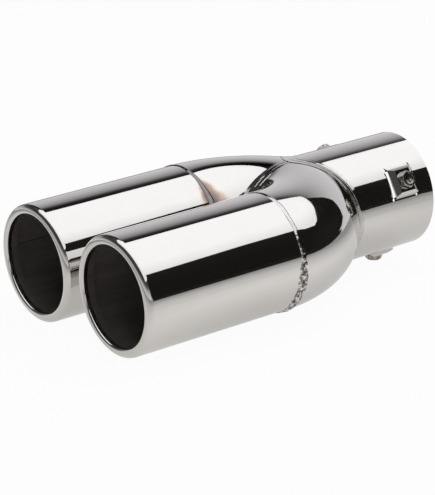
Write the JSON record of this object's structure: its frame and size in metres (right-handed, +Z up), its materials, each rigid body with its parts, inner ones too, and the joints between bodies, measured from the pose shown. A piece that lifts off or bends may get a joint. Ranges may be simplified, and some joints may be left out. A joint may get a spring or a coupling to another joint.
{
  "type": "exhaust tip",
  "caption": "Exhaust tip with twin round lipped outlets merging through welded elbows into a sleeve that bolts over a tailpipe.",
  "frame": {"origin": "centre of the inlet sleeve's open end, on the sleeve's axis", "axes": "+Y out of the inlet sleeve towards the car, so the outlets face -Y; +X to the right seen from the outlets; +Z up"},
  "size_m": [0.1644, 0.2615, 0.0856],
  "materials": {
    "polished_steel": "mirror-polished stainless sheet",
    "weld_metal": "rough, partly polished weld bead",
    "plated_bolt": "zinc-plated steel"
  },
  "bodies": {
    "root": {"outlet_tube_right": "polished_steel", "outlet_tube_left": "polished_steel", "elbow_right": "polished_steel", "elbow_left": "polished_steel", "inlet_sleeve": "polished_steel", "outlet_weld_right": "weld_metal", "outlet_weld_left": "weld_metal", "crotch_weld": "weld_metal", "sleeve_weld": "weld_metal", "clamp_nut_right": "plated_bolt", "clamp_nut_left": "plated_bolt", "clamp_nut_bottom": "plated_bolt", "clamp_bolt_right": "plated_bolt", "clamp_bolt_left": "plated_bolt", "clamp_bolt_bottom": "plated_bolt"}
  },
  "joints": []
}
